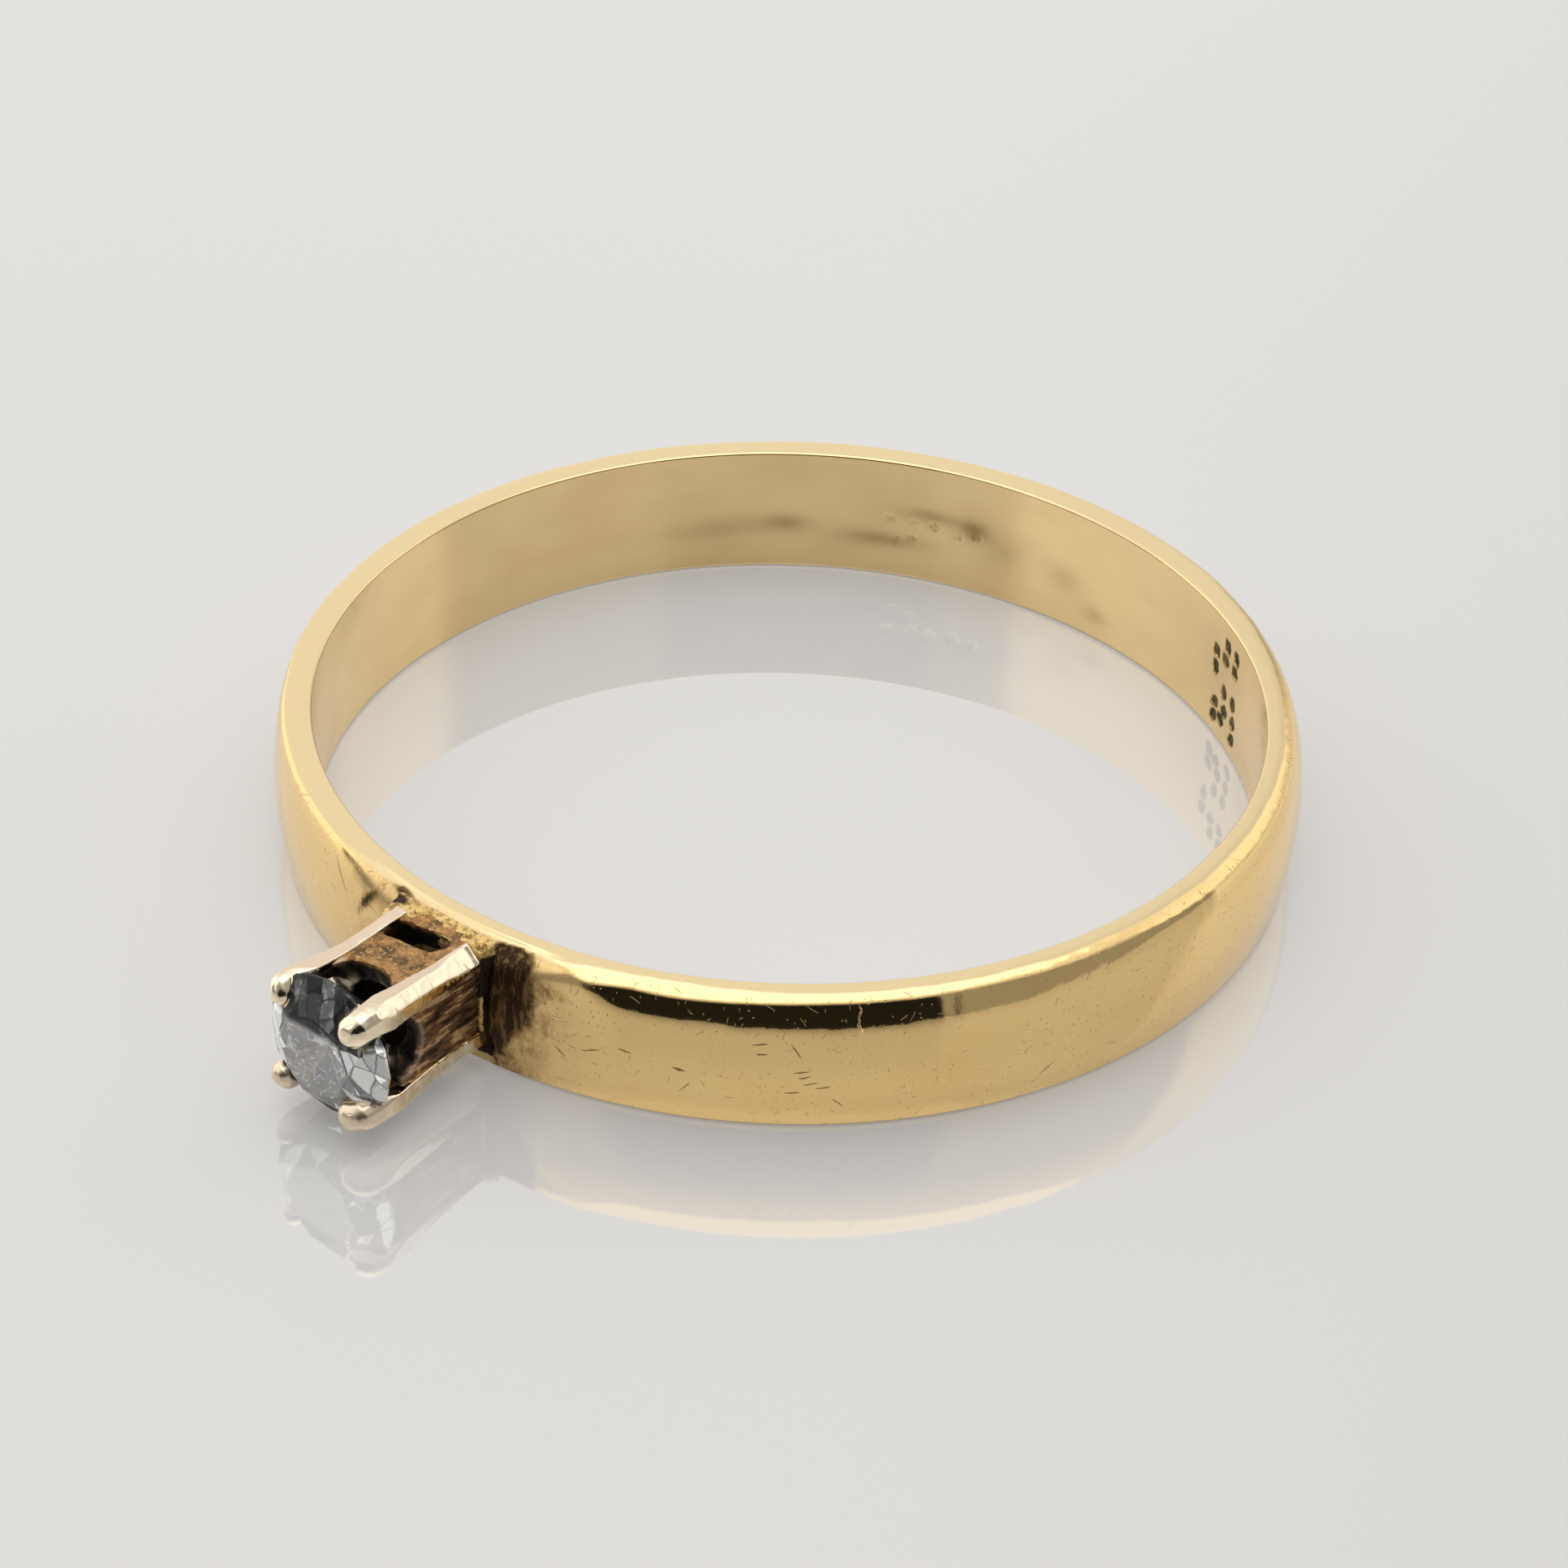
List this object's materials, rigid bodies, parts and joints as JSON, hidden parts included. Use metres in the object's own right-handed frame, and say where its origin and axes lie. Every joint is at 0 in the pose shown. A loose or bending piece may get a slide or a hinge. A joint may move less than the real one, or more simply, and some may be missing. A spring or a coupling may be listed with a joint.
{
  "type": "engagement ring",
  "caption": "Four-claw solitaire ring: D-section gold band with a soldered square collet, claws bent over a round brilliant stone.",
  "frame": {"origin": "centre of the finger hole, at the middle of the band's width", "axes": "+Z along the finger hole's axis, with the ring lying on its side; the head and stone point along -Y"},
  "size_m": [0.0186, 0.0217, 0.0029],
  "materials": {
    "yellow_gold": "worn polish with fine scratches",
    "tarnished_gold": "tarnished, matt",
    "pale_gold": "worn polish",
    "brilliant": "polished facets",
    "gold_solder": "granular, unpolished"
  },
  "bodies": {
    "root": {"shank": "yellow_gold", "collet": "tarnished_gold", "claw_upper_left": "pale_gold", "claw_upper_right": "pale_gold", "claw_lower_left": "pale_gold", "claw_lower_right": "pale_gold", "stone": "brilliant", "head_solder": "gold_solder"}
  },
  "joints": []
}
